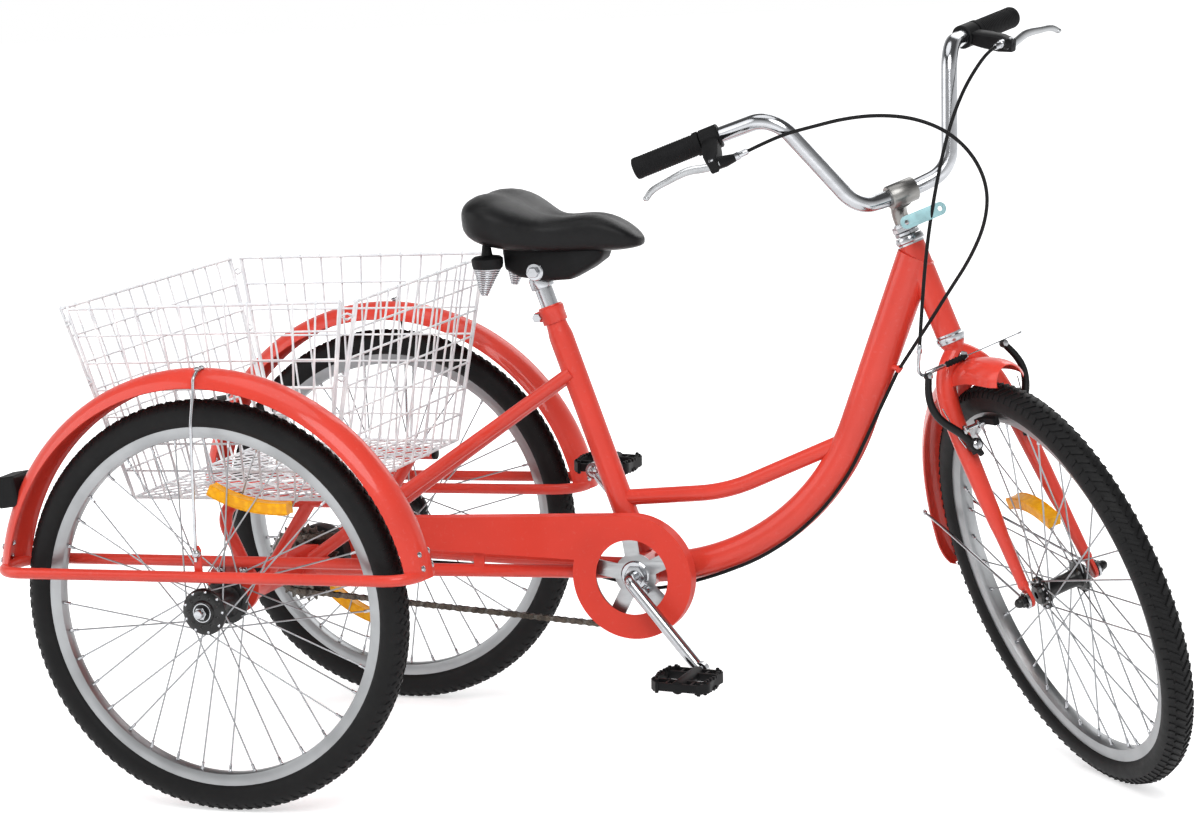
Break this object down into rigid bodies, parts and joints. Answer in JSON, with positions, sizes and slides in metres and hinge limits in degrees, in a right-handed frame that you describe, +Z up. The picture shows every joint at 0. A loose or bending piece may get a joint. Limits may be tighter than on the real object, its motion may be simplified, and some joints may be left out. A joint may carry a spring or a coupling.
{
  "type": "adult tricycle",
  "caption": "Adult tricycle with a steered front wheel, step-through frame, chain drive, guard rails and a wire basket between the rear wheels.",
  "frame": {"origin": "on the ground, under the middle of the tricycle in length and width", "axes": "+X forward, +Y to the rider's left, +Z up"},
  "size_m": [1.6794, 0.746, 1.0515],
  "materials": {
    "coral_paint": "gloss",
    "white_coating": "satin",
    "chrome": "polished",
    "aluminium": "satin",
    "black_steel": "satin",
    "chain_steel": "oiled",
    "tyre_rubber": "matt",
    "grip_rubber": "matt",
    "black_plastic": "matt",
    "saddle_vinyl": "satin",
    "amber_plastic": "clear",
    "red_plastic": "clear"
  },
  "bodies": {
    "frame": {"head_tube": "coral_paint", "headset_cups": "chrome", "bracket_shell": "coral_paint", "bracket_cups": "black_steel", "seat_tube": "coral_paint", "down_tube": "coral_paint", "upper_tube": "coral_paint", "chain_stays": "coral_paint", "seat_stays": "coral_paint", "axle_housings": "coral_paint", "guard_rails": "coral_paint", "rear_fenders": "coral_paint", "rear_fender_stays": "chrome", "basket_supports": "coral_paint", "rear_lights": "black_plastic", "rear_light_lenses": "red_plastic", "saddle_springs": "black_steel", "basket": "white_coating", "chain": "chain_steel", "chain_guard": "coral_paint", "seat_post": "chrome", "seat_collar": "chrome", "saddle_pan": "black_plastic", "saddle": "saddle_vinyl", "rear_cable": "black_plastic"},
    "steering": {"fork": "coral_paint", "locknut": "chrome", "stem": "chrome", "handlebar": "chrome", "front_axle": "black_steel", "front_fender": "coral_paint", "reflector_bracket": "black_plastic", "front_cable": "black_plastic", "brake_noodle": "chrome", "grips": "grip_rubber", "brake_levers": "aluminium", "brake_arms": "black_steel", "front_fender_stays": "chrome", "rear_cable_loop": "black_plastic"},
    "front_wheel": {"front_tyre": "tyre_rubber", "front_rim": "aluminium", "front_wheel_reflector": "amber_plastic"},
    "right_rear_wheel": {"right_rear_tyre": "tyre_rubber", "right_rear_rim": "aluminium", "right_rear_reflector": "amber_plastic"},
    "left_rear_wheel": {"left_rear_tyre": "tyre_rubber", "left_rear_rim": "aluminium", "left_rear_reflector": "amber_plastic", "axle": "black_steel", "freewheel": "chain_steel", "brake_drum": "black_steel"},
    "crank": {"crank": "chrome", "chainring": "chain_steel"},
    "right_pedal": {"pedal_right": "black_plastic"},
    "left_pedal": {"pedal_left": "black_plastic"}
  },
  "joints": [
    {"name": "steering_turn", "type": "hinge", "parent": "frame", "child": "steering", "pos_m": [0.61317, 0, 0.27668], "axis": [-0.3502, 0, 0.9367], "range_deg": [-14.9, 115.1], "deforming": ["rear_cable_loop"]},
    {"name": "front_wheel_spin", "type": "hinge", "parent": "steering", "child": "front_wheel", "pos_m": [0.63119, -0.02302, 0.28342], "axis": [0.7186, 0.6414, 0.2687], "continuous": true},
    {"name": "right_rear_wheel_spin", "type": "hinge", "parent": "frame", "child": "right_rear_wheel", "pos_m": [-0.50393, -0.315, 0.2944], "axis": [0, 1, 0], "continuous": true},
    {"name": "left_rear_wheel_spin", "type": "hinge", "parent": "frame", "child": "left_rear_wheel", "pos_m": [-0.50393, 0.315, 0.2944], "axis": [0, 1, 0], "continuous": true},
    {"name": "crank_turn", "type": "hinge", "parent": "frame", "child": "crank", "pos_m": [0.02307, 0, 0.2885], "axis": [0, 1, 0], "continuous": true},
    {"name": "right_pedal_spin", "type": "hinge", "parent": "crank", "child": "right_pedal", "pos_m": [0.12936, -0.148, 0.16492], "axis": [0, 1, 0], "continuous": true},
    {"name": "left_pedal_spin", "type": "hinge", "parent": "crank", "child": "left_pedal", "pos_m": [-0.08323, 0.148, 0.41208], "axis": [0, 1, 0], "continuous": true}
  ]
}
